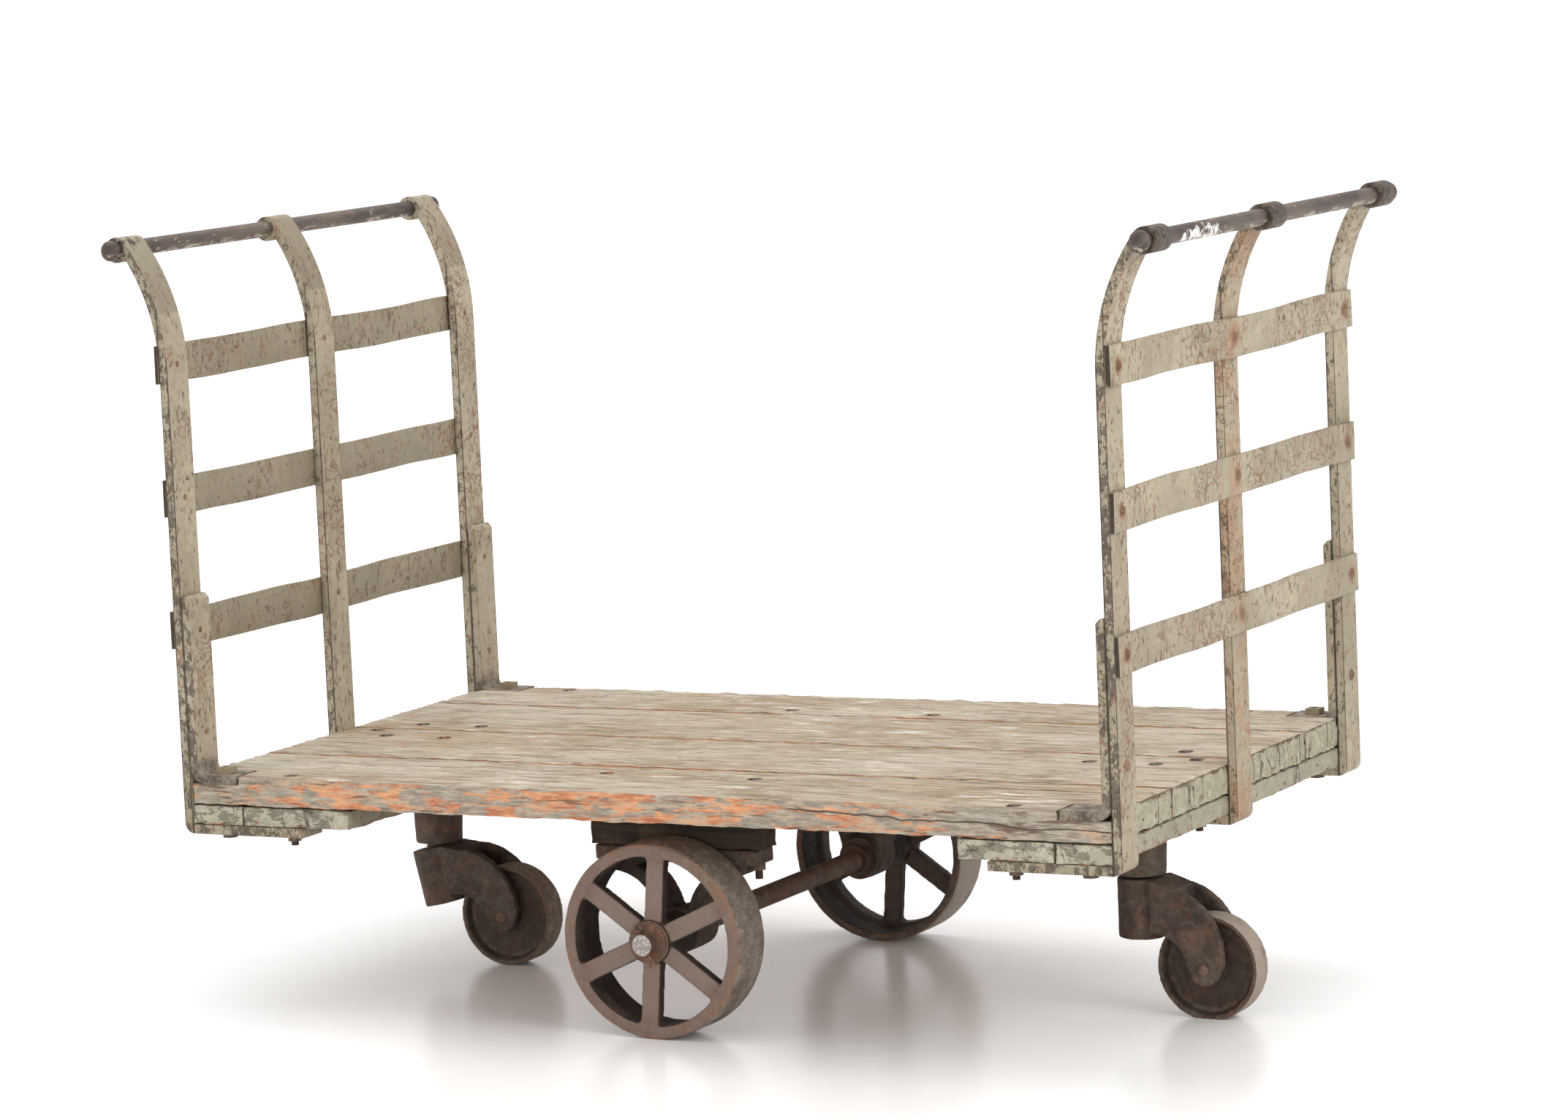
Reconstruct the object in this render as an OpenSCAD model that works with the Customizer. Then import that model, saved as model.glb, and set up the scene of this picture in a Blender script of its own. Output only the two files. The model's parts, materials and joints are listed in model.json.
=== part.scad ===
// Platform truck: a plank deck with a slatted rack at each end, two spoked
// wheels on a centre axle and a swivel caster under each end.
// X runs along the deck, Y across it and Z up. Z = 0 is the lowest wheel.

/* [Deck] */
// Length of the deck planks
deck_len = 1350; // [1100:10:1800]
// Width over all the planks
deck_w = 810; // [700:10:1000]
// Thickness of the planks
plank_t = 41; // [30:1:55]
// Width of the front edge plank
front_plank_w = 193; // [150:1:230]
// Width of the back edge plank
back_plank_w = 164; // [150:1:230]
// Open joint between planks
plank_gap = 2; // [0.5:0.5:4]

/* [Cross boards] */
// Thickness of the boards under each end
board_t = 27; // [18:1:40]
// Width of the outer cross boards
board_outer_w = 79; // [76:1:84]
// Width of the inner cross board at the left end
board_left_w = 166; // [126:1:200]
// Width of the inner cross board at the right end
board_right_w = 134; // [126:1:200]
// Open joint between cross boards
board_gap = 1; // [0.5:0.5:3]

/* [Racks] */
// Width of the flat bar used for uprights and knees
bar_w = 50; // [40:1:60]
// Thickness of the flat bar
bar_t = 12.5; // [8:0.5:16]
// Sideways place of the middle uprights
mid_y = -7; // [-40:1:40]
// Height of the handle bar above the deck
handle_h = 706; // [600:2:900]
// Radius of the inner face of the outward sweep
sweep_r = 285; // [240:5:330]
// Angle of the sweep up to the handle bar
sweep_a = 37; // [30:1:45]
// Wall of the eye rolled round the handle bar
eye_t = 6; // [5:0.5:10]
// Length of the corner feet under the deck
foot_len = 172; // [165:1:200]
// Length of the middle feet under the deck
mid_foot_len = 70; // [66:1:72]
// Inside radius of the foot bend
foot_bend = 1.5; // [0.5:0.5:6]
// Inside radius of the knee bend
knee_bend = 10; // [2:0.5:12]

/* [Slats] */
// Height of each slat
slat_h = 51; // [40:1:60]
// Thickness of each slat
slat_t = 5; // [3:0.5:8]
// Distance from one slat to the next
slat_pitch = 179; // [150:1:190]
// Height of the lowest slat above the deck
slat_low = 168; // [140:1:180]

/* [Handle bars] */
// Diameter of the handle bars
handle_d = 22; // [18:0.5:26]
// Length of bar past the outer eyes
handle_over = 10; // [6:1:30]
// Diameter of the upset end caps
cap_d = 27; // [26:0.5:32]

/* [Knees] */
// Height of the knee legs above the deck
knee_h = 241; // [180:1:260]
// Reach of the knee feet along the deck
knee_len = 71; // [60:1:80]

/* [Main wheels] */
// Diameter of the spoked wheels
wheel_d = 258; // [220:2:280]
// Width of the tread
wheel_w = 76; // [60:1:90]
// Thickness of the rim
rim_t = 17; // [10:1:22]
// Width of each spoke
spoke_w = 26; // [18:1:32]
// Thickness of each spoke
spoke_t = 18; // [12:1:26]
// Diameter of the wheel hub
hub_d = 57; // [55:1:70]
// Diameter of the axle washers
washer_d = 54; // [46:1:60]
// Amount the hub stands out past the rim
hub_proud = 4; // [1:1:8]
// Turn of the first spoke from upright
spoke_turn = 5; // [0:1:59]
// Diameter of the axle
axle_d = 28; // [22:1:32]
// Length of axle past each washer
axle_over = 15; // [12:1:20]
// Distance in from the deck's edge to the outer face of each wheel
wheel_inset = 32; // [10:1:80]

/* [Hangers] */
// Length of the wooden packing blocks
packing_len = 252; // [230:2:320]
// Width of the packing blocks
packing_w = 50; // [44:1:60]
// Thickness of the packing blocks
packing_t = 51; // [30:1:70]
// Height from the axle to the top of the hanger
hanger_h = 110; // [100:1:130]
// Thickness of the hanger flange
flange_t = 20; // [12:1:24]
// Diameter of the hanger's axle boss
boss_d = 60; // [52:1:68]

/* [Casters] */
// Distance in from the deck's end to each kingpin
caster_in = 140; // [110:1:180]
// Diameter of the caster wheels
caster_d = 140; // [120:2:150]
// Width of the caster tread
caster_w = 40; // [30:1:44]
// Trail of the caster wheel behind its kingpin
trail = 96; // [94:1:105]
// Drop from the fork's top to the wheel pin
fork_drop = 115; // [112:1:130]
// Diameter of the fork boss
fork_boss_d = 66; // [54:1:68]
// Height of the fork boss
fork_boss_h = 80; // [60:1:84]
// Thickness of each fork arm
arm_t = 13; // [6:0.5:15]
// Diameter of the kingpin
kingpin_d = 24; // [18:1:28]
// Diameter of the caster wheel pin
pin_d = 16; // [12:1:20]
// Height of the socket below its plate
socket_h = 78; // [50:1:90]
// Diameter of the socket at the top
socket_d = 71; // [64:1:76]
// Thickness of the socket plate
plate_t = 10; // [8:1:14]
// Bend of the worn left kingpin
kingpin_bend = 13; // [0:1:16]
// Sideways offset of the left fork on its worn kingpin
fork_offset = 9; // [0:1:10]
// Gap between the socket and the fork
swivel_gap = 3; // [2:0.5:5]

/* [Fasteners] */
// Diameter of the bolt shanks
bolt_d = 10; // [8:0.5:12]
// Diameter of the round bolt heads
bolt_head_d = 19; // [17:0.5:22]
// Diameter of the rivet heads
rivet_d = 16; // [12:0.5:20]
// Distance in from the deck's end to the corner bolts
corner_bolt_in = 42; // [36:1:44]

/* [Hidden] */
$fn = 64;

sage = "#A9A68F";
timber = "#A69B87";
iron = "#4A3C33";
steel = "#5F5550";

// Clearances
fit = 0.08;
hole_gap = 0.5;
slat_gap = 0.1;
wheel_side = 1;
head_gap = 2;
eps = 0.01;

// Levels, from the caster wheels upwards
pin_z = caster_d / 2;
socket_low = pin_z + fork_drop + swivel_gap;
plate_low = socket_low + socket_h;
board_low = plate_low + plate_t;
plank_low = board_low + board_t;
deck_top = plank_low + plank_t;
packing_low = plank_low - packing_t;
flange_low = packing_low - flange_t;
axle_z = packing_low - hanger_h;
foot_r = bar_t + foot_bend;
foot_low = board_low - bar_t;

// Ends and edges
end_x = deck_len / 2;
edge_y = deck_w / 2;
corner_y = edge_y - bar_w / 2;
inner_edge_front = -edge_y + front_plank_w;
inner_edge_back = edge_y - back_plank_w;
centre_joint = (inner_edge_front + inner_edge_back) / 2;
inner_board_near = board_outer_w + board_gap;

// Rack sweep: its centre lies outboard of the upright
sweep_x = end_x + sweep_r;
eye_bore_r = handle_d / 2 + fit;
eye_r = eye_bore_r + eye_t;
eye_path_r = sweep_r - eye_r;
sweep_z = deck_top + handle_h - eye_path_r * sin(sweep_a);
handle_x = sweep_x - eye_path_r * cos(sweep_a);
handle_z = deck_top + handle_h;
outer_sweep_r = sweep_r - bar_t;

// Slats stand clear of the sweep where they reach past its start
slat_z = [for (i = [0 : 2]) deck_top + slat_low + i * slat_pitch];
function sweep_in(z) = z <= sweep_z ? 0 : outer_sweep_r - sqrt(outer_sweep_r ^ 2 - (z - sweep_z) ^ 2) + slat_gap;
function slat_x(i) = end_x + bar_t + sweep_in(slat_z[i] + slat_h);
upright_y = [-corner_y, mid_y, corner_y];
slat_rivet_z = [for (z = slat_z) z + slat_h / 2];
knee_rivet_z = deck_top + 55;
rivet_shank_d = 8;
rivet_head_t = 4;

// Bolts through the deck, given from the middle of the deck
head_deep = 8;
head_t = 6;
head_dome = 3;
nut_t = 8;
nut_r = 10;
bolt_tail = 6;
foot_bolt_in = 28;
mid_bolt_in = 17;
corner_bolt_x = end_x - corner_bolt_in;
foot_bolt_x = end_x - foot_len + foot_bolt_in;
mid_bolt_x = end_x - mid_foot_len + mid_bolt_in;
caster_x = end_x - caster_in;
plate_margin = 15;
caster_bolt_dx = 47;
caster_bolt_dy = 50;
plate_x = 2 * (caster_bolt_dx + plate_margin);
plate_y = 2 * (caster_bolt_dy + plate_margin);
hanger_bolt_in = 16;
hanger_bolt_x = packing_len / 2 - hanger_bolt_in;

// Main wheels and hangers
wheel_out = edge_y - wheel_inset;
wheel_in = wheel_out - wheel_w;
washer_t = 4;
hub_out = wheel_out + hub_proud;
axle_end = hub_out + wheel_side + washer_t + axle_over;
hanger_side = 2;
hanger_y = wheel_in - hanger_side - packing_w / 2;
collar_len = 22;
collar_ring = 8;
pin_wire = 2.6;
pin_lean = 22;
split_pin_y = axle_end - axle_over / 2;

// Casters
kingpin_head_t = 6;
kingpin_head_r = kingpin_d / 2 + 6;
boss_tuck = 2.5;
wheel_slot = caster_w + 2 * wheel_side;
fork_w = wheel_slot + 2 * arm_t;
slot_r = caster_d / 2 + 5;

module at_xy(list) {
    for (p = list)
        translate([p[0], p[1], 0])
            children();
}

// Places of every bolt that starts in the deck's top face
function carriage_places() = concat(
    [for (s = [-1, 1], t = [-1, 1]) [s * foot_bolt_x, t * corner_y]],
    [for (s = [-1, 1]) [s * mid_bolt_x, mid_y]]);
function caster_places() =
    [for (s = [-1, 1], i = [-1, 1], j = [-1, 1]) [s * caster_x + i * caster_bolt_dx, j * caster_bolt_dy]];
function hanger_places() =
    [for (s = [-1, 1], t = [-1, 1]) [s * hanger_bolt_x, t * hanger_y]];
function corner_places() =
    [for (s = [-1, 1], t = [-1, 1]) [s * corner_bolt_x, t * corner_y]];

module deck_holes() {
    at_xy(concat(carriage_places(), caster_places(), hanger_places())) {
        translate([0, 0, plank_low - 1])
            cylinder(h = plank_t + 2, d = bolt_d + 2 * hole_gap);
        translate([0, 0, deck_top - head_deep])
            cylinder(h = head_deep + 1, d = bolt_head_d + 2 * hole_gap);
    }
    at_xy(corner_places())
        translate([0, 0, plank_low - 1])
            cylinder(h = plank_t + 2, d = bolt_d + 2 * hole_gap);
}

module plank(low, high) {
    color(timber)
        difference() {
            translate([-end_x, low, plank_low])
                cube([deck_len, high - low, plank_t]);
            deck_holes();
            for (s = [-1, 1], t = [-1, 1])
                knee_notch(s, t);
        }
}

module knee_notch(s, t) {
    reach = knee_len + hole_gap;
    translate([s * (end_x - reach / 2 + 1), t * (corner_y + 1), deck_top - bar_t / 2 + 1])
        cube([reach + 2, bar_w + 2 * hole_gap + 2, bar_t + 2], center = true);
}

module plank_front() {
    plank(-edge_y, inner_edge_front - plank_gap / 2);
}

module plank_mid_front() {
    plank(inner_edge_front + plank_gap / 2, centre_joint - plank_gap / 4);
}

module plank_mid_back() {
    plank(centre_joint + plank_gap / 4, inner_edge_back - plank_gap / 2);
}

module plank_back() {
    plank(inner_edge_back + plank_gap / 2, edge_y);
}

// Cross board between two distances in from the end
module board(side, near, far) {
    color(sage)
        difference() {
            translate([side > 0 ? end_x - far : -end_x + near, -edge_y, board_low])
                cube([far - near, deck_w, board_t]);
            at_xy(concat(carriage_places(), caster_places(), corner_places()))
                translate([0, 0, board_low - 1])
                    cylinder(h = board_t + 2, d = bolt_d + 2 * hole_gap);
            translate([side * caster_x, 0, board_low - 1])
                cylinder(h = kingpin_head_t + 3, r = kingpin_head_r + head_gap);
        }
}

// Its lower outside edge is eased to sit in the bend of the feet
module outer_board(side) {
    color(sage)
        difference() {
            board(side, 0, board_outer_w);
            translate([side * end_x, 0, board_low])
                rotate([0, 45, 0])
                    cube([foot_bend * sqrt(2), deck_w + 2, foot_bend * sqrt(2)], center = true);
        }
}

module inner_board(side) {
    board(side, inner_board_near, inner_board_near + (side > 0 ? board_right_w : board_left_w));
}

// Flat profile of an upright at the right-hand end, in X and Z
module upright_profile(foot) {
    translate([end_x, foot_low + foot_r])
        square([bar_t, sweep_z - foot_low - foot_r + eps]);
    translate([end_x - foot, foot_low])
        square([foot - foot_r + bar_t, bar_t]);
    translate([end_x + bar_t - foot_r, foot_low + foot_r])
        intersection() {
            difference() {
                circle(r = foot_r);
                circle(r = foot_bend);
            }
            translate([0, -foot_r - 1])
                square(foot_r + 1);
        }
    translate([sweep_x, sweep_z])
        difference() {
            intersection() {
                circle(r = sweep_r, $fn = 180);
                polygon([
                    [0, 0],
                    [-2 * sweep_r, 0],
                    [-2 * sweep_r, 2 * sweep_r * tan(sweep_a)],
                ]);
            }
            circle(r = outer_sweep_r, $fn = 180);
            translate([-eye_path_r * cos(sweep_a), eye_path_r * sin(sweep_a)])
                circle(r = eye_bore_r);
        }
    translate([handle_x, handle_z])
        difference() {
            circle(r = eye_r);
            circle(r = eye_bore_r);
        }
}

module upright(side, index) {
    middle = index == 1;
    foot = middle ? mid_foot_len : foot_len;
    y = upright_y[index];
    color(sage)
        mirror([side < 0 ? 1 : 0, 0, 0])
            difference() {
                translate([0, y + bar_w / 2, 0])
                    rotate([90, 0, 0])
                        linear_extrude(bar_w)
                            upright_profile(foot);
                for (x = middle ? [mid_bolt_x] : [corner_bolt_x, foot_bolt_x])
                    translate([x, y, foot_low - 1])
                        cylinder(h = bar_t + 2, d = bolt_d + 2 * hole_gap);
                for (z = slat_rivet_z)
                    translate([end_x - 1, y, z])
                        rotate([0, 90, 0])
                            cylinder(h = bar_t + 2, d = rivet_shank_d);
                if (!middle)
                    translate([end_x - 1, y, knee_rivet_z])
                        rotate([0, 90, 0])
                            cylinder(h = bar_t + 2, d = rivet_shank_d);
            }
}

module slat(side, index) {
    color(sage)
        mirror([side < 0 ? 1 : 0, 0, 0])
            difference() {
                translate([slat_x(index), -edge_y, slat_z[index]])
                    cube([slat_t, deck_w, slat_h]);
                for (y = upright_y)
                    translate([slat_x(index) - 1, y, slat_rivet_z[index]])
                        rotate([0, 90, 0])
                            cylinder(h = slat_t + 2, d = rivet_shank_d);
            }
}

// Rivet through from one x to another, with a low dome outboard
module rivet(from, to) {
    translate([from, 0, 0])
        rotate([0, 90, 0])
            cylinder(h = to - from + rivet_head_t / 4, d = rivet_shank_d);
    translate([to, 0, 0])
        rotate([0, 90, 0])
            dome(rivet_d / 2, rivet_head_t);
}

// Low spherical cap that stands on z = 0
module dome(r, h) {
    ball = (r * r + h * h) / (2 * h);
    rotate_extrude()
        intersection() {
            translate([0, h - ball])
                circle(r = ball);
            square([r, h]);
        }
}

// The lowest rivet at each corner holds the knee as well
module slat_rivets(side) {
    color(steel)
        mirror([side < 0 ? 1 : 0, 0, 0])
            for (i = [0 : 2], j = [0 : 2])
                translate([0, upright_y[j], slat_rivet_z[i]])
                    rivet(end_x - (i == 0 && j != 1 ? bar_t : 0), slat_x(i) + slat_t);
}

module handle_bar(side) {
    reach = corner_y + bar_w / 2 + handle_over;
    color(steel)
        translate([side * handle_x, 0, handle_z])
            rotate([90, 0, 0]) {
                cylinder(h = 2 * reach, d = handle_d, center = true);
                for (s = [0, 1])
                    mirror([0, 0, s])
                        translate([0, 0, reach - eps])
                            handle_cap();
            }
}

// Upset end of a handle bar, rounded outwards
module handle_cap() {
    cylinder(h = 5, d = cap_d);
    translate([0, 0, 5])
        dome(cap_d / 2, 8);
}

module knee(s, t) {
    bend = bar_t + knee_bend;
    x0 = end_x - knee_len;
    bottom = deck_top - bar_t;
    color(sage)
        mirror([s < 0 ? 1 : 0, 0, 0])
            difference() {
                translate([0, t * corner_y + bar_w / 2, 0])
                    rotate([90, 0, 0])
                        linear_extrude(bar_w)
                            difference() {
                                union() {
                                    translate([x0, bottom])
                                        square([knee_len, bar_t]);
                                    translate([end_x - bar_t, bottom])
                                        square([bar_t, knee_h + bar_t / 2]);
                                    translate([end_x - bar_t, deck_top + knee_h - bar_t / 2])
                                        polygon([
                                            [0, -eps],
                                            [bar_t, -eps],
                                            [bar_t, bar_t / 2],
                                            [bar_t / 2, bar_t / 2],
                                        ]);
                                    translate([end_x - bend, deck_top])
                                        difference() {
                                            square([knee_bend + eps, knee_bend]);
                                            translate([0, knee_bend])
                                                circle(r = knee_bend);
                                        }
                                }
                                translate([end_x - bend, bottom])
                                    difference() {
                                        translate([0, -1])
                                            square([bend + 1, bend + 1]);
                                        translate([0, bend])
                                            circle(r = bend);
                                    }
                            }
                translate([corner_bolt_x, t * corner_y, bottom - 1])
                    cylinder(h = bar_t + 2, d = bolt_d + 2 * hole_gap);
                for (z = [knee_rivet_z, slat_rivet_z[0]])
                    translate([end_x - bar_t - 1, t * corner_y, z])
                        rotate([0, 90, 0])
                            cylinder(h = bar_t + 2, d = rivet_shank_d);
            }
}

module knee_rivets() {
    color(steel)
        for (s = [-1, 1], t = [-1, 1])
            mirror([s < 0 ? 1 : 0, 0, 0])
                translate([0, t * corner_y, knee_rivet_z])
                    rivet(end_x - bar_t, end_x + bar_t);
}

// Shank from one level to another
module shank(low, high) {
    translate([0, 0, low])
        cylinder(h = high - low, d = bolt_d);
}

module square_nut(low) {
    translate([-nut_r, -nut_r, low])
        difference() {
            cube([2 * nut_r, 2 * nut_r, nut_t]);
            translate([nut_r, nut_r, -1])
                cylinder(h = nut_t + 2, d = bolt_d);
        }
}

// Six-sided nut with its top face at a level
module hex_nut(top) {
    translate([0, 0, top - nut_t])
        difference() {
            cylinder(h = nut_t, r = nut_r, $fn = 6);
            translate([0, 0, -1])
                cylinder(h = nut_t + 2, d = bolt_d);
        }
}

module corner_bolts() {
    color(iron)
        at_xy(corner_places()) {
            shank(foot_low, deck_top);
            translate([0, 0, foot_low - nut_t + 1])
                cylinder(h = nut_t - 1, r = nut_r + 1, $fn = 6);
        }
}

// The front right knee has lost its nut
module corner_nuts() {
    color(iron)
        for (p = corner_places())
            if (!(p[0] > 0 && p[1] < 0))
                translate([p[0], p[1], 0])
                    square_nut(deck_top);
}

// Round-headed bolt sunk in the deck, down to a level
module deck_bolt(low) {
    shank(low, deck_top - head_deep);
    translate([0, 0, deck_top - head_deep])
        cylinder(h = head_t - head_dome, d = bolt_head_d);
    translate([0, 0, deck_top - head_deep + head_t - head_dome])
        dome(bolt_head_d / 2, head_dome);
}

module carriage_bolts() {
    color(iron)
        at_xy(carriage_places())
            deck_bolt(foot_low - nut_t - bolt_tail);
}

module carriage_nuts() {
    color(iron)
        at_xy(carriage_places())
            hex_nut(foot_low);
}

module caster_bolts() {
    color(iron)
        at_xy(caster_places())
            deck_bolt(plate_low - nut_t - bolt_tail);
}

module caster_nuts() {
    color(iron)
        at_xy(caster_places())
            hex_nut(plate_low);
}

module hanger_bolts() {
    color(iron)
        at_xy(hanger_places())
            deck_bolt(flange_low - nut_t - 2 * bolt_tail);
}

module hanger_nuts() {
    color(iron)
        at_xy(hanger_places())
            hex_nut(flange_low);
}

module packing(t) {
    color("#3A3028")
        difference() {
            translate([-packing_len / 2, t * hanger_y - packing_w / 2, packing_low])
                cube([packing_len, packing_w, packing_t]);
            for (x = [-hanger_bolt_x, hanger_bolt_x])
                translate([x, t * hanger_y, packing_low - 1])
                    cylinder(h = packing_t + 2, d = bolt_d + 2 * hole_gap);
        }
}

// Hanger outline in X and Z, with the axle at the origin: two legs sweep
// down from the flange to the axle boss
module hanger_profile() {
    top = hanger_h - flange_t;
    half = packing_len / 2 - 6;
    leg_t = 18;
    leg_x = hanger_bolt_x - nut_r - 2;
    leg_r = leg_x - boss_d / 2 + leg_t / 2;
    leg_z = top - leg_t / 4 - leg_r;
    translate([-half, top])
        square([2 * half, flange_t]);
    circle(d = boss_d);
    for (s = [0, 1])
        mirror([s, 0])
            translate([leg_x, leg_z])
                intersection() {
                    difference() {
                        circle(r = leg_r + leg_t / 2, $fn = 96);
                        circle(r = leg_r - leg_t / 2, $fn = 96);
                    }
                    translate([-2 * leg_r, 0])
                        square([2 * leg_r, leg_r + leg_t / 4 + eps]);
                }
}

module hanger(t) {
    color(iron)
        difference() {
            translate([0, t * hanger_y + packing_w / 2, axle_z])
                rotate([90, 0, 0])
                    linear_extrude(packing_w)
                        hanger_profile();
            translate([0, t * hanger_y, axle_z])
                rotate([90, 0, 0])
                    cylinder(h = packing_w + 2, r = axle_d / 2 + fit, center = true);
            for (x = [-hanger_bolt_x, hanger_bolt_x])
                translate([x, t * hanger_y, flange_low - 1])
                    cylinder(h = flange_t + 2, d = bolt_d + 2 * hole_gap);
        }
}

// Solid of revolution about the axle line, from one Y to another
module along_y(low, high, r) {
    translate([0, high, axle_z])
        rotate([90, 0, 0])
            cylinder(h = high - low, r = r);
}

module axle() {
    color(steel)
        difference() {
            along_y(-axle_end, axle_end, axle_d / 2);
            for (t = [-1, 1])
                split_pin_place(t)
                    cylinder(h = 2 * axle_d, r = pin_wire + fit, center = true);
        }
}

module split_pin_place(t) {
    translate([0, t * split_pin_y, axle_z])
        rotate([0, -pin_lean, 0])
            children();
}

module split_pins() {
    loop_r = 4.5;
    wire = 1.6;
    color("#8A6A4A")
        for (t = [-1, 1])
            split_pin_place(t) {
                cylinder(h = axle_d + 8, r = pin_wire, center = true);
                translate([0, 0, axle_d / 2 + 4 + loop_r])
                    rotate([90, 0, 0])
                        rotate_extrude()
                            translate([loop_r, 0])
                                circle(r = wire);
                for (a = [-16, 16])
                    translate([0, 0, -axle_d / 2 - 3])
                        rotate([0, 180 + a, 0])
                            cylinder(h = 15, r = wire);
            }
}

module axle_washers() {
    color("#7A4A2E")
        for (t = [-1, 1])
            mirror([0, t < 0 ? 1 : 0, 0])
                difference() {
                    along_y(hub_out + wheel_side / 2, hub_out + wheel_side / 2 + washer_t, washer_d / 2);
                    along_y(hub_out, hub_out + 2 * washer_t, axle_d / 2 + fit);
                }
}

module axle_collars() {
    inner = hanger_y - packing_w / 2;
    color(iron)
        for (t = [0, 1])
            mirror([0, t, 0])
                difference() {
                    union() {
                        along_y(inner - collar_len, inner, boss_d / 2 - 9);
                        along_y(inner - collar_ring, inner, boss_d / 2 - 1);
                    }
                    along_y(inner - collar_len - 1, inner + 1, axle_d / 2 + fit);
                }
}

// Spoked wheel centred on the origin, outer face towards +Z. Its rim has
// a deeper band behind the outer face, which the spokes run into
module spoked_wheel() {
    r = wheel_d / 2;
    face = wheel_w / 2;
    band = spoke_t + 8;
    difference() {
        union() {
            rotate_extrude($fn = 128)
                polygon([
                    [r - rim_t + 5, -face],
                    [r - 2, -face],
                    [r, -face + 2],
                    [r, face - 2],
                    [r - 2, face],
                    [r - rim_t, face],
                    [r - rim_t, face - band],
                    [r - rim_t + 5, face - band - 5],
                ]);
            for (i = [0 : 5])
                rotate(60 * i)
                    translate([-spoke_w / 2, hub_d / 4, face - 4 - spoke_t])
                        cube([spoke_w, r - rim_t / 2 - hub_d / 4, spoke_t]);
            translate([0, 0, -face + 2])
                cylinder(h = wheel_w - 2 + hub_proud, d = hub_d);
        }
        cylinder(h = 2 * wheel_w, r = axle_d / 2 + fit, center = true);
    }
}

module main_wheel(t) {
    color(iron)
        mirror([0, t > 0 ? 1 : 0, 0])
            translate([0, -wheel_in - wheel_w / 2, axle_z])
                rotate([90, 0, 0])
                    rotate(-spoke_turn)
                        spoked_wheel();
}

// Socket: plate under the boards and a tapering cup for the kingpin
module socket(side) {
    low_r = socket_d / 2 - 3;
    color(iron)
        translate([side * caster_x, 0, 0])
            difference() {
                union() {
                    translate([-plate_x / 2, -plate_y / 2, plate_low])
                        cube([plate_x, plate_y, plate_t]);
                    translate([0, 0, socket_low])
                        cylinder(h = socket_h + eps, r1 = low_r, r2 = socket_d / 2);
                }
                translate([0, 0, socket_low - 1])
                    cylinder(h = socket_h + plate_t + 2, r = kingpin_d / 2 + fit);
                translate([0, 0, board_low - kingpin_head_t - 1])
                    cylinder(h = kingpin_head_t + 2, r = kingpin_head_r + 0.5);
                for (i = [-1, 1], j = [-1, 1])
                    translate([i * caster_bolt_dx, j * caster_bolt_dy, plate_low - 1])
                        cylinder(h = plate_t + 2, d = bolt_d + 2 * hole_gap);
            }
}

// A bent kingpin lowers the fork until its rim clears the socket
function bend_of(side) = side < 0 ? kingpin_bend : 0;
function offset_of(side) = side < 0 ? fork_offset : 0;
function gap_of(side) = swivel_gap + fork_boss_d / 2 * sin(bend_of(side)) - (side < 0 ? boss_tuck : 0);

// Children are drawn in fork axes: kingpin on Z, fork top at z = 0
module fork_place(side) {
    translate([side * caster_x - offset_of(side), 0, socket_low])
        rotate([0, -bend_of(side), 0])
            translate([0, 0, -gap_of(side)])
                children();
}

module kingpin(side) {
    color(steel) {
        translate([side * caster_x, 0, socket_low - gap_of(side) / 2]) {
            cylinder(h = socket_h + plate_t + gap_of(side) / 2 - eps, d = kingpin_d);
            translate([0, 0, socket_h + plate_t + gap_of(side) / 2 - kingpin_head_t - 0.4])
                cylinder(h = kingpin_head_t, r = kingpin_head_r);
        }
        fork_place(side)
            translate([0, 0, -fork_boss_h])
                cylinder(h = fork_boss_h + gap_of(side) / 2, d = kingpin_d);
    }
}

// Side outline of a fork arm in X and Z, with the wheel pin at the origin
module arm_profile() {
    outer_r = trail - 6;
    inner_r = trail - 47;
    root = 22;
    crown = 7;
    hip = 38;
    translate([1, 0])
        circle(r = 22);
    difference() {
        intersection() {
            union() {
                translate([34 - trail, fork_drop - crown - outer_r])
                    circle(r = outer_r, $fn = 96);
                polygon([
                    [root - trail, hip],
                    [root - trail, fork_drop],
                    [root + 6 - trail, fork_drop],
                    [root + 34 - trail, fork_drop - crown - 3],
                    [root + 34 - trail, hip],
                ]);
            }
            translate([root - trail, 0])
                square([trail + 40, fork_drop]);
        }
        translate([25 - trail, -4])
            circle(r = inner_r);
    }
}

module fork(side) {
    color(iron)
        fork_place(side)
            difference() {
                union() {
                    translate([0, 0, -fork_boss_h])
                        cylinder(h = fork_boss_h, d = fork_boss_d);
                    translate([trail, fork_w / 2, -fork_drop])
                        rotate([90, 0, 0])
                            linear_extrude(fork_w)
                                arm_profile();
                }
                translate([0, 0, -fork_boss_h - 1])
                    cylinder(h = fork_boss_h + 2, d = kingpin_d);
                translate([trail, 0, -fork_drop])
                    rotate([90, 0, 0])
                        cylinder(h = wheel_slot, r = slot_r, center = true, $fn = 96);
                translate([trail - 36, -wheel_slot / 2, -fork_drop])
                    cube([78, wheel_slot, fork_drop]);
                translate([trail, 0, -fork_drop])
                    rotate([90, 0, 0])
                        cylinder(h = fork_w + 2, d = pin_d, center = true);
            }
}

module caster_pin(side) {
    color(steel)
        fork_place(side)
            translate([trail, 0, -fork_drop])
                rotate([90, 0, 0]) {
                    cylinder(h = fork_w, d = pin_d, center = true);
                    for (s = [0, 1])
                        mirror([0, 0, s])
                            translate([0, 0, fork_w / 2])
                                dome(pin_d / 2, 2.5);
                }
}

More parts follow.
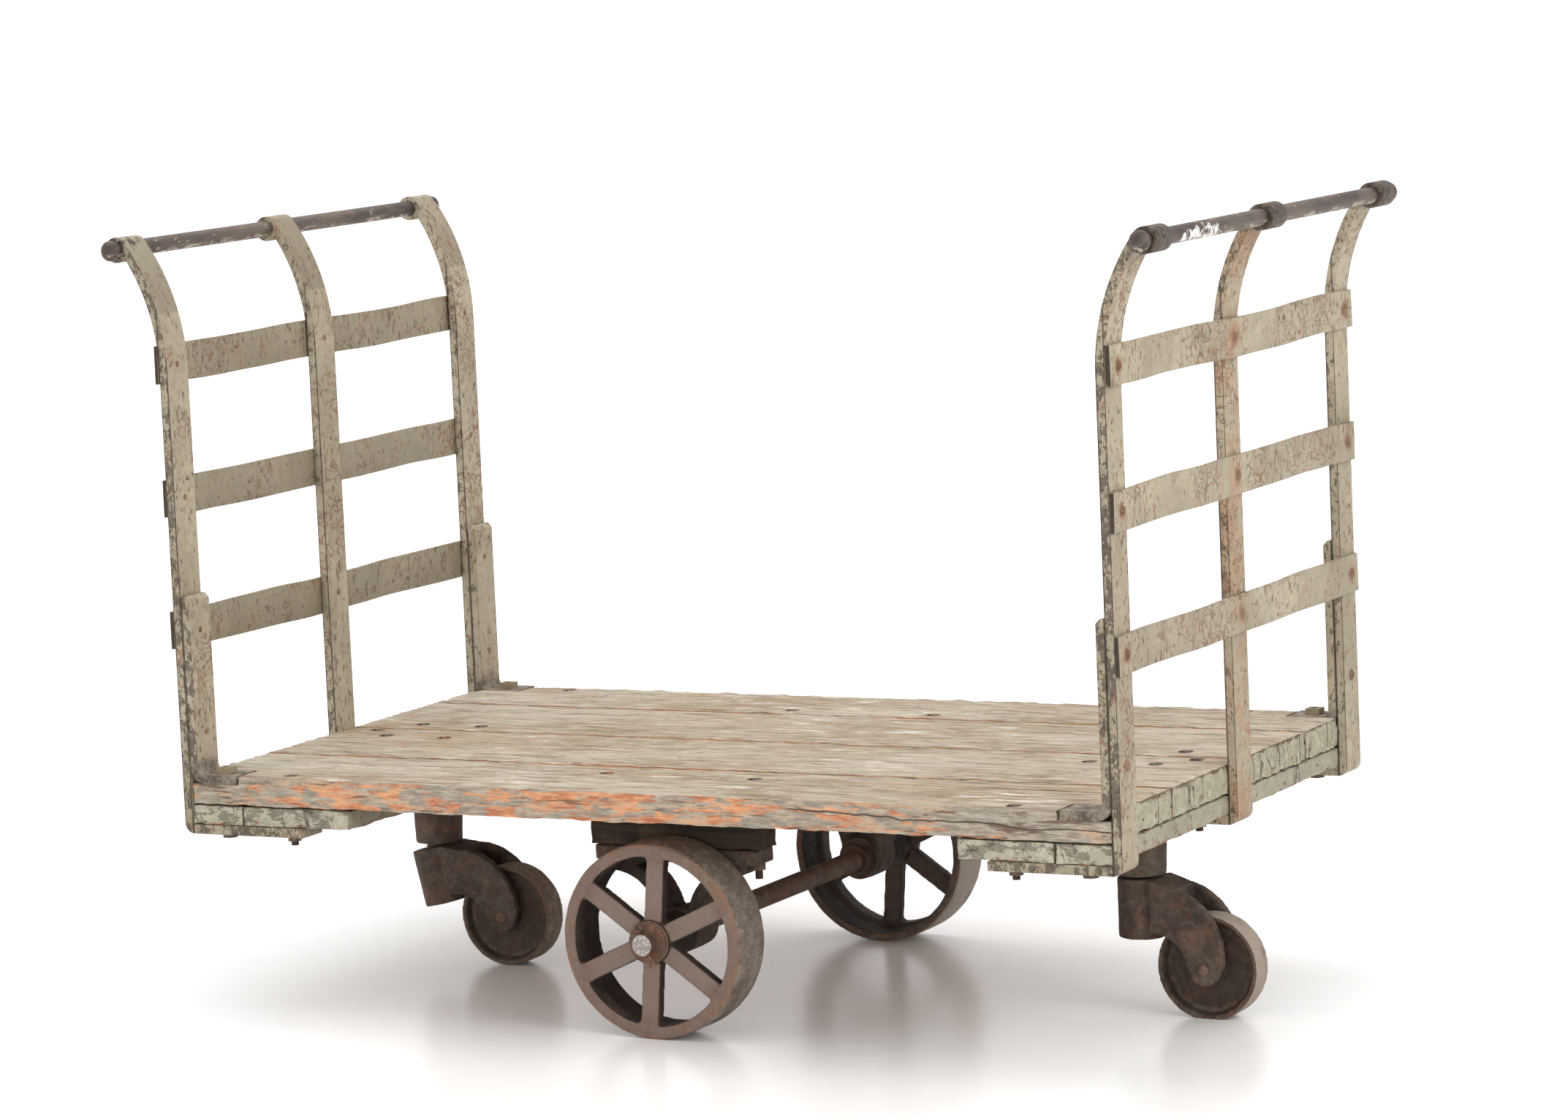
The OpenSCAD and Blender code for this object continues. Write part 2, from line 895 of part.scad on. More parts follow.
module caster_wheel(side) {
    r = caster_d / 2;
    lip = 6;
    recess = 12;
    color(iron)
        fork_place(side)
            translate([trail, 0, -fork_drop])
                rotate([90, 0, 0])
                    difference() {
                        cylinder(h = caster_w, r = r, center = true, $fn = 96);
                        for (s = [0, 1])
                            mirror([0, 0, s])
                                translate([0, 0, caster_w / 2 - recess])
                                    difference() {
                                        cylinder(h = recess + 1, r1 = r - lip - 6, r2 = r - lip + 0.5, $fn = 96);
                                        cylinder(h = recess + 1, r = pin_d / 2 + 11);
                                    }
                        cylinder(h = caster_w + 2, r = pin_d / 2 + fit, center = true);
                    }
}

plank_front();
plank_mid_front();
plank_mid_back();
plank_back();
outer_board(-1);  // left_board_outer
inner_board(-1);  // left_board_inner
outer_board(1);  // right_board_outer
inner_board(1);  // right_board_inner
upright(-1, 0);  // left_upright_front
upright(-1, 1);  // left_upright_middle
upright(-1, 2);  // left_upright_back
upright(1, 0);  // right_upright_front
upright(1, 1);  // right_upright_middle
upright(1, 2);  // right_upright_back
slat(-1, 0);  // left_slat_low
slat(-1, 1);  // left_slat_middle
slat(-1, 2);  // left_slat_top
slat(1, 0);  // right_slat_low
slat(1, 1);  // right_slat_middle
slat(1, 2);  // right_slat_top
handle_bar(-1);  // left_handle_bar
handle_bar(1);  // right_handle_bar
knee(-1, -1);  // knee_left_front
knee(-1, 1);  // knee_left_back
knee(1, -1);  // knee_right_front
knee(1, 1);  // knee_right_back
slat_rivets(-1);  // left_slat_rivets
slat_rivets(1);  // right_slat_rivets
knee_rivets();
corner_bolts();
corner_nuts();
carriage_bolts();
carriage_nuts();
caster_bolts();
caster_nuts();
hanger_bolts();
hanger_nuts();
socket(-1);  // left_socket
socket(1);  // right_socket
kingpin(-1);  // left_kingpin
kingpin(1);  // right_kingpin
fork(-1);  // left_fork
fork(1);  // right_fork
caster_wheel(-1);  // left_caster_wheel
caster_wheel(1);  // right_caster_wheel
caster_pin(-1);  // left_caster_pin
caster_pin(1);  // right_caster_pin
packing(-1);  // front_packing
packing(1);  // back_packing
hanger(-1);  // front_hanger
hanger(1);  // back_hanger
axle();
axle_collars();
axle_washers();
split_pins();
main_wheel(-1);  // front_wheel
main_wheel(1);  // back_wheel
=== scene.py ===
"""A platform truck: plank deck, two slatted racks, spoked wheels and swivel casters."""

import json
import math
import random

import bmesh
import bpy
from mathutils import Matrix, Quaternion, Vector


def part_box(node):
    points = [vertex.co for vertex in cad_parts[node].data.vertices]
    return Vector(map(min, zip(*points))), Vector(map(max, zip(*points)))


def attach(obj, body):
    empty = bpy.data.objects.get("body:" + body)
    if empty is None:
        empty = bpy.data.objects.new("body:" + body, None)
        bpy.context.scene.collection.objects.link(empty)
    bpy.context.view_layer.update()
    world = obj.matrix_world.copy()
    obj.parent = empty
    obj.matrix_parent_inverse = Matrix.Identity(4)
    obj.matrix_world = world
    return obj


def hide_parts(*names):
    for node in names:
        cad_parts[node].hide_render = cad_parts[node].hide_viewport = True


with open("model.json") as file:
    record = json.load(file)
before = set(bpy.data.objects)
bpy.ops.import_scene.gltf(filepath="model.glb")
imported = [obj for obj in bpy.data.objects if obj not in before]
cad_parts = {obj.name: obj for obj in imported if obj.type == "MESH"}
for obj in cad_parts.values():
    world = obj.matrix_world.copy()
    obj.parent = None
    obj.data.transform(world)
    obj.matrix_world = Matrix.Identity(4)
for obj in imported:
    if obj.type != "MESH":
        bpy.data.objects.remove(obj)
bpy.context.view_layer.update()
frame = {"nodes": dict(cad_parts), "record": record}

bodies = frame["record"]["behaviour"]["bodies"]
body_of_node = {node: body for body, nodes in bodies.items() for node in nodes}

# ---------------------------------------------------------------- finishes


def tint(code):
    """A colour from its hex code, in Blender's linear values."""
    parts = [int(code[i : i + 2], 16) / 255 for i in (0, 2, 4)]
    linear = [p / 12.92 if p <= 0.04045 else ((p + 0.055) / 1.055) ** 2.4 for p in parts]
    return (*linear, 1.0)


class Value:
    """A node's output. Arithmetic on it adds Math nodes to its tree."""

    def __init__(self, tree, socket):
        self.tree = tree
        self.socket = socket

    def maths(self, operation, first, second=0.0):
        return self.tree.node("ShaderNodeMath", {"operation": operation}, {0: first, 1: second})

    def __add__(self, other):
        return self.maths("ADD", self, other)

    def __radd__(self, other):
        return self.maths("ADD", other, self)

    def __sub__(self, other):
        return self.maths("SUBTRACT", self, other)

    def __rsub__(self, other):
        return self.maths("SUBTRACT", other, self)

    def __mul__(self, other):
        return self.maths("MULTIPLY", self, other)

    def __rmul__(self, other):
        return self.maths("MULTIPLY", other, self)

    def __abs__(self):
        return self.maths("ABSOLUTE", self)

    def most(self, other):
        return self.maths("MAXIMUM", self, other)

    def least(self, other):
        return self.maths("MINIMUM", self, other)

    def rise(self, low, high):
        """0 below low, 1 above high, and smooth between."""
        return self.tree.node(
            "ShaderNodeMapRange",
            {"interpolation_type": "SMOOTHSTEP"},
            {"Value": self, "From Min": low, "From Max": high},
        )


def smallest(values):
    found = values[0]
    for value in values[1:]:
        found = found.least(value)
    return found


class Tree:
    """A node tree, whose nodes all come from one method."""

    def __init__(self, tree):
        self.tree = tree

    def node(self, kind, settings=None, inputs=None, output=0):
        """Adds a node, gives it its settings and then its sockets' values or links."""
        made = self.tree.nodes.new(kind)
        for name, value in (settings or {}).items():
            setattr(made, name, value)
        for name, value in (inputs or {}).items():
            if isinstance(value, Value):
                self.link(value, made.inputs[name])
            else:
                made.inputs[name].default_value = value
        return Value(self, made.outputs[output])

    def link(self, value, socket):
        self.tree.links.new(value.socket, socket)


class Finish(Tree):
    """One named surface finish, made of procedural nodes on the piece's own coordinates."""

    def __init__(self, name, shine=0.4):
        self.material = bpy.data.materials.new(name)
        self.material.use_nodes = True
        super().__init__(self.material.node_tree)
        self.shader = self.tree.nodes["Principled BSDF"]
        self.shader.inputs["Specular IOR Level"].default_value = shine
        self.place = self.node("ShaderNodeTexCoord", output="Object")
        facing = self.node("ShaderNodeTexCoord", output="Normal")
        self.facing = self.parts(facing)
        self.at = self.parts(self.place)

    def parts(self, vector):
        """A vector's X, Y and Z."""
        return [self.node("ShaderNodeSeparateXYZ", {}, {0: vector}, axis) for axis in range(3)]

    def noise(self, scale, detail=4.0, stretch=(1, 1, 1), shift=0.0, rough=0.55, warp=0.0):
        """A cloudy pattern around 0.5, drawn out along the axes whose stretch is small."""
        spot = self.node(
            "ShaderNodeMapping",
            {},
            {"Vector": self.place, "Location": (shift, 1.7 * shift, 0.6 * shift), "Scale": stretch},
        )
        form = {"Scale": scale, "Detail": detail, "Roughness": rough, "Distortion": warp}
        return self.node("ShaderNodeTexNoise", {}, {"Vector": spot, **form})

    def cells(self, scale, warp=0.0):
        """Distance from the edges of a cracked-mud pattern, whose lines are bent by the warp."""
        coarse = {"Vector": self.place, "Scale": 0.4 * scale}
        bend = self.node("ShaderNodeTexNoise", {}, coarse, "Color")
        bend = self.vectors("SCALE", {0: bend, "Scale": warp * 4})
        spot = self.vectors("ADD", {0: self.place, 1: bend})
        feature = {"feature": "DISTANCE_TO_EDGE"}
        return self.node("ShaderNodeTexVoronoi", feature, {"Vector": spot, "Scale": scale})

    def vectors(self, operation, inputs, output=0):
        return self.node("ShaderNodeVectorMath", {"operation": operation}, inputs, output)

    def mix(self, mask, under, over):
        """One colour over another where the mask is 1."""
        return self.node("ShaderNodeMix", {"data_type": "RGBA"}, {0: mask, 6: under, 7: over}, 2)

    def worn_edge(self, reach):
        """1 on a piece's outside edges and 0 on its flats."""
        soft = self.node("ShaderNodeBevel", {"samples": 6}, {"Radius": reach})
        flat = self.node("ShaderNodeNewGeometry", output="Normal")
        same = self.vectors("DOT_PRODUCT", {0: soft, 1: flat}, "Value")
        return (1 - same).rise(0.02, 0.2)

    def near(self, across, up, reach):
        """1 at the fixings that lie at these Y and Z places, fading to 0 at the reach."""
        gaps = []
        for y in across:
            for z in up:
                dy = self.at[1] - y
                dz = self.at[2] - z
                gaps.append(self.root(dy * dy + dz * dz))
        return 1 - smallest(gaps).rise(0.3 * reach, reach)

    def root(self, value):
        """The square root of a value."""
        return self.node("ShaderNodeMath", {"operation": "SQRT"}, {0: value})

    def set(self, socket, value):
        self.link(value, self.shader.inputs[socket])

    def lay(self, colour, roughness, height, depth, strength=1.0):
        """Puts the colour, the roughness and the relief on the shader."""
        self.set("Base Color", colour)
        self.set("Roughness", roughness)
        relief = {"Strength": strength, "Distance": depth, "Height": height}
        self.set("Normal", self.node("ShaderNodeBump", {}, relief))
        return self.material


def racks():
    """Old sage paint on bar iron: crazed, flecked with rust and worn bare on narrow faces."""
    f = Finish("old_sage_paint", 0.35)
    mottle = f.noise(90, 6, rough=0.7)
    sage = f.mix(f.noise(6, 5, shift=3).rise(0.3, 0.7), tint("958A75"), tint("ABA08A"))
    sage = f.mix(mottle.rise(0.4, 0.75) * 0.5, sage, tint("82796A"))
    dirt = f.noise(24, 8, stretch=(1, 1, 0.35), rough=0.72, shift=9).rise(0.5, 0.7)
    sage = f.mix(dirt * 0.4, sage, tint("776952"))
    edge = f.worn_edge(0.003)
    narrow = abs(f.facing[1]).rise(0.7, 0.9)
    front = 1 - f.at[1].rise(-0.395, -0.3)
    fleck = f.noise(150, 9, stretch=(1, 1, 0.6), rough=0.72, shift=1)
    patch = f.noise(9, 5, rough=0.6, shift=6).rise(0.42, 0.66)
    chip = (fleck + patch * 0.05 + edge * 0.03).rise(0.61, 0.64)
    speck = f.noise(110, 10, stretch=(1, 1, 0.6), rough=0.75, shift=27)
    speck = narrow * (speck + front * 0.05 + patch * 0.03).rise(0.56, 0.6)
    craze = f.cells(44, warp=0.035)
    craze = (1 - craze.rise(0.02, 0.07)) * f.noise(8, 5, rough=0.65, shift=13).rise(0.53, 0.58)
    long = f.noise(30, 3, stretch=(1, 0.9, 0.3), rough=0.6, warp=1.6, shift=4)
    long = (1 - abs(long - 0.5).rise(0.004, 0.018)) * f.noise(13, 4, shift=17).rise(0.52, 0.57)
    bar_x, bar_z = handle_centre
    dx = abs(f.at[0]) - bar_x
    dz = f.at[2] - bar_z
    by_bar = 1 - f.root(dx * dx + dz * dz).rise(0.017, 0.026)
    rubbed = by_bar * (f.noise(40, 6, rough=0.7, shift=19) + f.at[0] * 0.35).rise(0.3, 0.36)
    # Dark brown lines along the edges: partly worn edges, partly painted shade standing for the
    # seams between the bars.
    edge_wear_and_seam_shade = edge * f.noise(50, 7, rough=0.7, shift=33).rise(0.34, 0.5)
    scar = chip.most(craze * 0.8).most(long * 0.9)
    bare = scar.most(rubbed).most(speck)
    metal = f.mix(f.noise(140, 5).rise(0.4, 0.65), tint("433931"), tint("64584D"))
    rusty = f.mix(f.noise(70, 6, shift=37).rise(0.4, 0.6), tint("57432F"), tint("86593F"))
    outboard = (f.at[0] * f.facing[0]).rise(0.0, 0.3)
    halo = f.near(rivet_ys, rivet_zs, 0.018) * f.noise(80, 6, rough=0.7, shift=5).rise(0.36, 0.52)
    run = f.noise(22, 9, stretch=(1, 1, 0.5), rough=0.75, shift=15).rise(0.57, 0.66)
    by_middle = 1 - abs(f.at[1] - rivet_ys[1]).rise(0.024, 0.04)
    wept = by_middle * f.at[0].rise(0.5, 0.6) * f.noise(16, 8, rough=0.72, shift=45).rise(0.42, 0.6)
    # Painted shade: the left rack's inboard faces, which face +X, are darkened towards 6A604F.
    on_slat = abs(f.at[0]).rise(slat_near - 0.003, slat_near - 0.002)
    left_rack_painted_shade = on_slat * (0 - f.at[0]).rise(0.0, 0.1) * f.facing[0].rise(0.3, 0.7)
    sage = f.mix(left_rack_painted_shade * 0.4, sage, tint("6A604F"))
    colour = f.mix(run * 0.4, sage, tint("94694C"))
    colour = f.mix(wept * 0.5, colour, tint("A0714F"))
    colour = f.mix(halo * outboard * 0.85, colour, tint("85543A"))
    colour = f.mix(scar * 0.85, colour, rusty)
    colour = f.mix(edge_wear_and_seam_shade * 0.6, colour, tint("5F4938"))
    colour = f.mix(rubbed.most(speck * 0.85), colour, metal)
    # Painted shade: very dark lines on the narrow faces at the deck's end and at the slats' inner
    # face, where the bars meet.
    inner = 1 - abs(abs(f.at[0]) - end_x).rise(0.0008, 0.0024)
    outer = 1 - abs(abs(f.at[0]) - slat_near).rise(0.0006, 0.0018)
    colour = f.mix(narrow * inner.most(outer * 0.8) * 0.9, colour, tint("33291F"))
    foot = 1 - f.at[2].rise(deck_top + 0.004, deck_top + 0.03)
    foot = foot * f.at[2].rise(deck_top - 0.016, deck_top - 0.014)
    foot = foot * (1 - abs(f.at[0]).rise(end_x - 0.002, end_x - 0.001))
    steel = f.noise(60, 8, rough=0.72, shift=83).rise(0.4, 0.6)
    steel = f.mix(steel, tint("54493F"), tint("8B7F6F"))
    colour = f.mix(foot * 0.9, colour, steel)
    level = smallest([abs(f.at[2] - z) for z in rivet_zs])
    butt = narrow * abs(f.at[0]).rise(slat_near - 0.0005, slat_near + 0.0005)
    butt = butt * (1 - level.rise(slat_half, slat_half + 0.003))
    colour = f.mix(butt, colour, tint("3E3328"))
    f.set("Metallic", rubbed * 0.5)
    return f.lay(colour, 0.55 + mottle * 0.15 - rubbed * 0.1, 1 - bare + mottle * 0.2, 0.0004)


def deck_wood():
    """Grey-tan boards with short grain, scuffs and warm joints, and old paint on the sides."""
    f = Finish("weathered_deck", 0.22)
    top = f.facing[2].rise(0.45, 0.8)
    grain = f.noise(190, 6, stretch=(0.1, 1, 1), rough=0.6)
    streak = f.noise(95, 8, stretch=(0.11, 1, 1), rough=0.68, shift=2)
    broad = f.noise(7, 7, stretch=(0.4, 1, 1), rough=0.66, shift=11).rise(0.36, 0.64)
    wood = f.mix(broad, tint("978670"), tint("ABA08F"))
    wood = f.mix(grain.rise(0.44, 0.66) * 0.8, wood, tint("C4B9A8"))
    wood = f.mix((1 - streak.rise(0.38, 0.48)) * 0.75, wood, tint("77664F"))
    pore = f.noise(240, 4, stretch=(0.12, 1, 1), shift=8).rise(0.62, 0.68)
    wood = f.mix(pore * 0.65, wood, tint("59493A"))
    warm = f.noise(4, 8, stretch=(0.5, 1, 1), rough=0.72, shift=21).rise(0.5, 0.66)
    wood = f.mix(warm * 0.45, wood, tint("A07E5D"))
    stain = f.noise(6, 9, rough=0.78, shift=27).rise(0.54, 0.68)
    wood = f.mix(stain * 0.45, wood, tint("756650"))
    scratch = f.noise(9, 2, warp=1.5, shift=33)
    scratch = (1 - abs(scratch - 0.5).rise(0.0, 0.0045)) * f.noise(14, 4, shift=35).rise(0.48, 0.56)
    wood = f.mix(scratch * 0.55, wood, tint("655642"))
    dx = (f.at[0] - 0.5) * 7
    dy = (f.at[1] + 0.33) * 14
    spot = 1 - f.root(dx * dx + dy * dy).rise(0.5, 1.1)
    scuff = f.noise(75, 9, stretch=(0.16, 1, 1), rough=0.74, shift=17) + spot * 0.03
    scuff = scuff.rise(0.56, 0.62)
    scuff = scuff * f.noise(3.2, 4, shift=31).rise(0.5, 0.62).most(spot)
    wood = f.mix(scuff * 0.8, wood, tint("DDD6C9"))
    chip = f.noise(60, 8, rough=0.7, shift=41).rise(0.65, 0.67)
    wood = f.mix(chip * 0.7, wood, tint("B9794C"))
    joint = smallest([abs(f.at[1] - y) for y in plank_sides])
    lip = f.noise(20, 6, stretch=(0.3, 1, 1), rough=0.7, shift=39).rise(0.36, 0.54)
    lip = (1 - joint.rise(0.003, 0.009)) * lip
    wood = f.mix(lip * 0.75, wood, tint("A9724A"))
    # Painted shade: a dark line down the middle of each joint between the planks.
    wood = f.mix((1 - joint.rise(0.001, 0.0026)) * 0.9, wood, tint("40322A"))
    edge = f.worn_edge(0.005) * f.noise(60, 7, rough=0.72, shift=47).rise(0.4, 0.55)
    wood = f.mix(edge * 0.6, wood, tint("6B543F"))

    end = abs(f.facing[0]).rise(0.6, 0.8)
    flake = f.noise(130, 9, stretch=(0.16, 1, 1), rough=0.7, shift=4)
    area = f.noise(5, 4, stretch=(1, 0.3, 0.3), shift=23)
    orange = f.noise(110, 7, stretch=(0.2, 1, 1), rough=0.65, shift=1).rise(0.38, 0.62)
    orange = f.mix(orange, tint("A9694A"), tint("D69C74"))
    grey = f.noise(190, 6, stretch=(0.2, 1, 1), rough=0.7).rise(0.35, 0.7)
    grey = f.mix(grey, tint("847B6E"), tint("B3A897"))
    yellow = f.noise(7, 4, shift=73).rise(0.56, 0.68)
    orange = f.mix(yellow * 0.6, orange, tint("CDA46C"))
    outward = abs(f.at[0] + 0.03).rise(0.4, 0.62)
    cover = flake + area * 0.5 + f.at[0] * 0.05 + outward * 0.09
    side = f.mix(cover.rise(0.72, 0.74), orange, grey)
    raw = f.noise(80, 9, stretch=(0.16, 1, 1), rough=0.72, shift=51).rise(0.55, 0.59)
    side = f.mix(raw * 0.7, side, tint("BDA184"))
    nick = f.noise(140, 6, stretch=(0.1, 1, 1), rough=0.65, shift=57)
    nick = (nick + outward * 0.03).rise(0.59, 0.64)
    side = f.mix(nick * 0.75, side, tint("5F4638"))
    bent = f.at[2] - (deck_top + 0.004) + f.at[0] * 0.03
    bent = bent + f.noise(10, 5, rough=0.6, shift=71) * 0.02
    slit = (1 - abs(bent).rise(0.0006, 0.0016)) * f.at[0].rise(0.2, 0.24)
    side = f.mix(slit * 0.85, side, tint("3C2F26"))
    coat = f.mix(f.noise(90, 6, rough=0.7).rise(0.4, 0.7), tint("9A947F"), tint("B0AA97"))
    crack = f.noise(17, 4, stretch=(1, 1, 0.3), rough=0.5, warp=0.7, shift=12)
    crack = (1 - abs(crack - 0.5).rise(0.0, 0.009)) * f.noise(14, 4, shift=79).rise(0.46, 0.53)
    faint = 1 - f.cells(34, warp=0.05).rise(0.0, 0.05)
    crack = crack.most(faint * 0.35)
    coat = f.mix(crack * 0.85, coat, tint("3C342B"))
    coat = f.mix(f.noise(40, 9, rough=0.72, shift=61).rise(0.59, 0.61) * 0.8, coat, tint("7C5F47"))
    ragged = (f.at[2] - deck_top + f.noise(45, 8, rough=0.75, shift=67) * 0.03).rise(0.009, 0.012)
    coat = f.mix(ragged * 0.85, coat, tint("57432F"))
    side = f.mix(end, side, coat)
    colour = f.mix(top, side, wood)
    height = grain * 0.5 + streak * 0.7 - pore * 0.5 - crack * end * 0.6 + flake * (1 - top) * 0.8
    return f.lay(colour, 0.72 + grain * 0.15, height, 0.0013, 0.9)


def painted_wood():
    """Pale sage paint on the cross boards, cracked along the sides and flaked off the end grain."""
    f = Finish("cracked_board_paint", 0.3)
    sage = f.mix(f.noise(90, 7, rough=0.7).rise(0.38, 0.7), tint("9C9784"), tint("B5AF9C"))
    sage = f.mix(f.noise(9, 6, rough=0.65, shift=2).rise(0.5, 0.7) * 0.5, sage, tint("857D6B"))
    end = abs(f.facing[1]).rise(0.6, 0.8)
    split = f.noise(16, 4, stretch=(1, 0.9, 0.3), rough=0.5, warp=0.7, shift=12)
    split = (1 - abs(split - 0.5).rise(0.0, 0.009)) * f.noise(13, 4, shift=29).rise(0.48, 0.54)
    scale = f.noise(70, 9, stretch=(0.45, 0.45, 1), rough=0.7, shift=85)
    scale = (scale + f.noise(12, 4, shift=87) * 0.3).rise(0.67, 0.7)
    split = split.most(scale * end * 0.6)
    edge = f.worn_edge(0.006)
    flake = f.noise(70, 9, stretch=(0.6, 0.6, 1), rough=0.74, shift=7) + edge * 0.06 + end * 0.012
    flake = flake.rise(0.59, 0.61)
    wood = f.noise(110, 6, stretch=(1, 0.2, 1)).rise(0.35, 0.65)
    wood = f.mix(wood, tint("5A4A3D"), tint("93806B"))
    orange = f.mix(f.noise(50, 5, shift=3).rise(0.45, 0.55), tint("B26F4A"), tint("80543B"))
    low = 1 - (f.at[2] - board_low).rise(0.002, 0.009)
    below = f.mix((f.noise(16, 4, shift=14) + low * 0.1).rise(0.53, 0.59), wood, orange)
    rot = f.noise(13, 6, rough=0.7, shift=43).rise(0.6, 0.66)
    colour = f.mix(flake.most(rot * 0.8), sage, below)
    # Painted shade: the board faces that face along X are darkened.
    colour = f.mix(abs(f.facing[0]).rise(0.6, 0.8) * 0.35, colour, tint("6F6554"))
    colour = f.mix(split * 0.85, colour, tint("3B332A"))
    return f.lay(colour, 0.68 + flake * 0.15, 1 - flake * 0.6 - split * 0.8, 0.0009)


def iron(name, dark, warm, pale, dust, rust, shine=0.3):
    """Old iron with brown rust and pale grit. Returns the finish, its colour and its pits."""
    f = Finish(name, shine)
    skin = f.noise(13, 7, rough=0.65, shift=2).rise(0.35, 0.65)
    pit = f.noise(260, 6, rough=0.7)
    colour = f.mix(skin, tint(dark), tint(warm))
    rusty = f.noise(30, 8, rough=0.72, shift=8).rise(0.48, 0.66)
    colour = f.mix(rusty * rust, colour, tint("7C5037"))
    colour = f.mix(pit.rise(0.55, 0.72) * 0.55, colour, tint(pale))
    grime = f.noise(55, 8, rough=0.75, shift=5).rise(0.42, 0.68)
    colour = f.mix(grime * dust, colour, tint("978C7F"))
    colour = f.mix(f.worn_edge(0.003) * 0.45, colour, tint("8A6248"))
    return f, colour, pit


def small_iron(name, dark, warm, pale, dust, rust):
    """Iron of fastenings and castings, all one colour but for its dust and rust."""
    f, colour, pit = iron(name, dark, warm, pale, dust, rust)
    return f.lay(colour, 0.6 + pit * 0.25, pit + f.noise(90, 4) * 0.6, 0.0005)


def rolling_iron(name, node, face, inner, inside_shade_code, tread, line_code):
    """Iron of one wheel: its outer face, its shaded inside and its dusty tread differ."""
    f, colour, pit = iron(name, face, face, "A2907E", 0.25, 0.4)
    low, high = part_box(node)
    dx = f.at[0] - (low.x + high.x) / 2
    dz = f.at[2] - (low.z + high.z) / 2
    out = f.root(dx * dx + dz * dz)
    rim = (high.x - low.x) / 2
    level = abs(f.facing[1]).rise(0.35, 0.75)
    within = 1 - out.rise(0.72 * rim, 0.84 * rim)
    colour = f.mix(within * 0.6, colour, tint(inner))
    # Painted shade: every face that does not face along the axle (spoke sides, hub, inside of the
    # rim) gets a dark colour; the tread is coloured over it below.
    painted_inside_shade = f.mix(f.noise(40, 6, rough=0.7).rise(0.4, 0.7), tint(inside_shade_code), tint("4A3B30"))
    colour = f.mix(level, painted_inside_shade, colour)
    worn = f.mix(f.noise(70, 8, rough=0.75, shift=3).rise(0.4, 0.66), tint(tread), tint("93887C"))
    worn = f.mix(pit.rise(0.54, 0.66) * 0.7, worn, tint("B9AE9F"))
    worn = f.mix(f.noise(16, 6, rough=0.6, shift=9).rise(0.5, 0.68) * 0.6, worn, tint("5A4A3E"))
    on_tread = out.rise(rim - 0.005, rim - 0.003) * (1 - level)
    colour = f.mix(on_tread, colour, worn)
    line = f.noise(30, 6, rough=0.7, shift=6).rise(0.4, 0.6)
    line = out.rise(rim - 0.005, rim - 0.002) * level * line
    colour = f.mix(line * 0.7, colour, tint(line_code))
    return f.lay(colour, 0.62 + pit * 0.25, pit + f.noise(80, 5) * 0.8, 0.0007)


def bare_steel():
    """Push bars worn dark by hands, with flecks of old paint and one white daub."""
    f = Finish("handled_steel", 0.5)
    wear = f.noise(22, 7, stretch=(1, 0.3, 1), rough=0.65)
    colour = f.mix(wear.rise(0.35, 0.65), tint("453B36"), tint("6F6259"))
    fleck = f.noise(90, 9, stretch=(1, 0.4, 1), rough=0.75, shift=6).rise(0.6, 0.63)
    low = (0 - f.facing[2]).rise(0.1, 0.7)
    under = f.noise(60, 9, stretch=(1, 0.3, 1), rough=0.75, shift=23).rise(0.5, 0.55)
    fleck = fleck.most(low * under)
    colour = f.mix(fleck, colour, tint("A39B88"))
    rusty = f.noise(35, 7, rough=0.7, shift=9).rise(0.58, 0.68)
    colour = f.mix(rusty * 0.6, colour, tint("5E4333"))
    ragged = f.noise(60, 8, rough=0.75, shift=2) * 0.05
    across = abs(f.at[1] + 0.255) + ragged
    daub = (1 - across.rise(0.078, 0.084)) * f.at[0].rise(0.5, 0.51)
    shown = f.facing[0] * 0.25 - f.facing[2] * 0.1 + f.noise(70, 8, rough=0.75, shift=8)
    daub = daub * shown.rise(0.7, 0.75)
    colour = f.mix(daub, colour, tint("E2DFDA"))
    f.set("Metallic", 0.55 - fleck.most(daub) * 0.55)
    return f.lay(colour, 0.4 + wear * 0.25 + daub * 0.2, fleck + wear * 0.3 + daub, 0.0004)


def axle_steel():
    """Rusty axle with ends that were hammered bright."""
    f, colour, pit = iron("axle_steel", "4B3D34", "5E4A3C", "8C7A6A", 0.25, 0.6)
    dent = f.cells(160, warp=0.004)
    end = abs(f.facing[1]).rise(0.4, 0.6)
    bright = f.mix(dent.rise(0.0, 0.3), tint("8C857F"), tint("B8B2AC"))
    colour = f.mix(end, colour, bright)
    f.set("Metallic", end * 0.5)
    return f.lay(colour, 0.6 + pit * 0.2 - end * 0.2, pit + dent * end, 0.0008)


def dark_wood():
    """Oily packing blocks, nearly black."""
    f = Finish("oily_packing_wood", 0.25)
    grain = f.noise(80, 7, stretch=(0.05, 1, 1), rough=0.65)
    colour = f.mix(grain.rise(0.35, 0.7), tint("261E18"), tint("413429"))
    colour = f.mix(f.noise(14, 6, rough=0.65).rise(0.54, 0.7) * 0.5, colour, tint("5E5040"))
    return f.lay(colour, 0.75 + grain * 0.15, grain, 0.001)


slat_boxes = [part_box("right_slat_" + level) for level in ("low", "middle", "top")]
rivet_zs = [(low.z + high.z) / 2 for low, high in slat_boxes]
upright_boxes = [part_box("right_upright_" + place) for place in ("front", "middle", "back")]
rivet_ys = [(low.y + high.y) / 2 for low, high in upright_boxes]
slat_near = slat_boxes[0][0].x
slat_half = (slat_boxes[0][1].z - slat_boxes[0][0].z) / 2
bar_low, bar_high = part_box("right_handle_bar")
handle_centre = ((bar_low.x + bar_high.x) / 2, (bar_low.z + bar_high.z) / 2)
board_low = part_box("right_board_outer")[0].z
deck_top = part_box("plank_front")[1].z
end_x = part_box("plank_front")[1].x
planks = ("plank_front", "plank_mid_front", "plank_mid_back", "plank_back")
plank_sides = [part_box(node)[1].y for node in planks[:3]]

